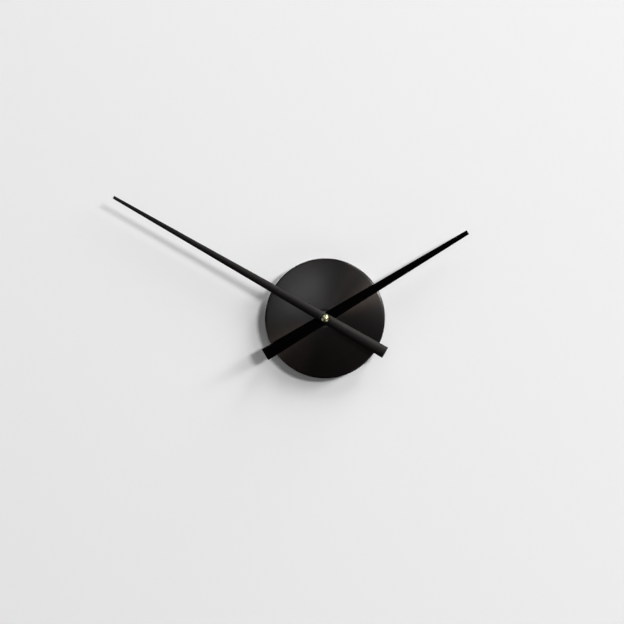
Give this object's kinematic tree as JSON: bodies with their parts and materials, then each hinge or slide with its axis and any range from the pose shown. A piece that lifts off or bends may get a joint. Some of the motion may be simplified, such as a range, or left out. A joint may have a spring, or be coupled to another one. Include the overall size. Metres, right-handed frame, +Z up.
{
  "type": "hands-only wall clock",
  "caption": "Wall clock with no dial: two long tapered hands on a round brushed cover that hides a one-cell quartz movement, hung by a keyhole.",
  "frame": {"origin": "on the hands' axis, in the plane of the wall", "axes": "+Z up, +Y into the wall, so the viewer stands at -Y with +X to their right"},
  "size_m": [0.3247, 0.0351, 0.1667],
  "materials": {
    "cover_black": "black anodised, circularly brushed",
    "satin_black": "black anodised, brushed along its length",
    "deep_black": "black anodised, matte",
    "brass": "pale polished",
    "gear_brass": "machined",
    "black_plastic": "fine satin",
    "knob_plastic": "satin",
    "rubber": "matte",
    "ivory_plastic": "satin",
    "white_plastic": "natural moulded",
    "steel": "drawn wire",
    "weight_steel": "plain",
    "soft_iron": "stamped sheet",
    "magnet": "sintered",
    "copper_wire": "enamelled copper wire",
    "contact_metal": "nickel-plated strip",
    "board": "solder mask",
    "resin": "cured resin",
    "can_metal": "plated can",
    "label_film": "printed film, plain"
  },
  "bodies": {
    "case": {"cover": "cover_black", "rubber_washer": "rubber", "front_washer": "rubber", "fixing_nut": "brass", "threaded_bush": "brass", "case_front": "black_plastic", "case_back": "black_plastic", "hanger": "black_plastic", "train_plate": "ivory_plastic", "circuit_board": "board", "control_chip": "resin", "quartz_crystal": "can_metal", "battery_contact_positive": "contact_metal", "battery_contact_negative": "contact_metal", "coil_bobbin": "ivory_plastic", "coil_winding": "copper_wire", "coil_core": "soft_iron", "stator_upper": "soft_iron", "stator_lower": "soft_iron"},
    "minute_hand_group": {"minute_hand": "satin_black", "minute_hand_bush": "brass", "minute_counterweight": "weight_steel", "cap_nut": "brass", "minute_pipe": "gear_brass", "cannon_pinion": "gear_brass", "clutch_spring": "steel"},
    "hour_hand_group": {"hour_hand": "deep_black", "hour_hand_bush": "knob_plastic", "hour_counterweight": "weight_steel", "hour_pipe": "ivory_plastic", "hour_wheel": "white_plastic"},
    "centre_wheel_group": {"centre_wheel": "gear_brass"},
    "third_wheel_group": {"third_wheel": "white_plastic", "third_arbor": "steel"},
    "seconds_wheel_group": {"seconds_wheel": "white_plastic", "seconds_arbor": "steel"},
    "fifth_wheel_group": {"fifth_wheel": "white_plastic", "fifth_arbor": "steel"},
    "rotor_group": {"rotor_pinion": "white_plastic", "rotor_magnet": "magnet", "rotor_arbor": "steel"},
    "minute_wheel_group": {"minute_wheel": "white_plastic", "minute_wheel_arbor": "steel"},
    "set_knob_group": {"set_knob": "knob_plastic", "set_arbor": "ivory_plastic", "set_pinion": "ivory_plastic"},
    "battery": {"battery_cell": "can_metal", "battery_label": "label_film", "battery_negative_cap": "can_metal"}
  },
  "joints": [
    {"name": "minute_hand_turn", "type": "hinge", "parent": "case", "child": "minute_hand_group", "pos_m": [0, 0, 0], "axis": [0, 1, 0], "continuous": true},
    {"name": "hour_hand_turn", "type": "hinge", "parent": "case", "child": "hour_hand_group", "pos_m": [0, 0, 0], "axis": [0, 1, 0], "continuous": true},
    {"name": "centre_wheel_turn", "type": "hinge", "parent": "case", "child": "centre_wheel_group", "pos_m": [0, 0, 0], "axis": [0, 1, 0], "continuous": true},
    {"name": "third_wheel_turn", "type": "hinge", "parent": "case", "child": "third_wheel_group", "pos_m": [0.00624, 0, 0.0036], "axis": [0, 1, 0], "continuous": true},
    {"name": "seconds_wheel_turn", "type": "hinge", "parent": "case", "child": "seconds_wheel_group", "pos_m": [0, 0, 0], "axis": [0, 1, 0], "continuous": true},
    {"name": "fifth_wheel_turn", "type": "hinge", "parent": "case", "child": "fifth_wheel_group", "pos_m": [-0.00653, 0, 0.00304], "axis": [0, 1, 0], "continuous": true},
    {"name": "rotor_turn", "type": "hinge", "parent": "case", "child": "rotor_group", "pos_m": [-0.01231, 0, 0.00515], "axis": [0, 1, 0], "continuous": true},
    {"name": "minute_wheel_turn", "type": "hinge", "parent": "case", "child": "minute_wheel_group", "pos_m": [-0.00146, 0, 0.00827], "axis": [0, 1, 0], "continuous": true},
    {"name": "set_knob_turn", "type": "hinge", "parent": "case", "child": "set_knob_group", "pos_m": [0, 0, 0.01654], "axis": [0, 1, 0], "continuous": true},
    {"name": "battery_out", "type": "slide", "parent": "case", "child": "battery", "axis": [0, 1, 0], "range_m": [0, 0.03]}
  ],
  "couplings": [
    {"joint": "hour_hand_turn", "follows": "minute_hand_turn", "ratio": 0.083333},
    {"joint": "centre_wheel_turn", "follows": "minute_hand_turn", "ratio": 1},
    {"joint": "third_wheel_turn", "follows": "minute_hand_turn", "ratio": -8},
    {"joint": "seconds_wheel_turn", "follows": "minute_hand_turn", "ratio": 60},
    {"joint": "fifth_wheel_turn", "follows": "minute_hand_turn", "ratio": -300},
    {"joint": "rotor_turn", "follows": "minute_hand_turn", "ratio": 1800},
    {"joint": "minute_wheel_turn", "follows": "minute_hand_turn", "ratio": -0.33333},
    {"joint": "set_knob_turn", "follows": "minute_hand_turn", "ratio": 1}
  ]
}
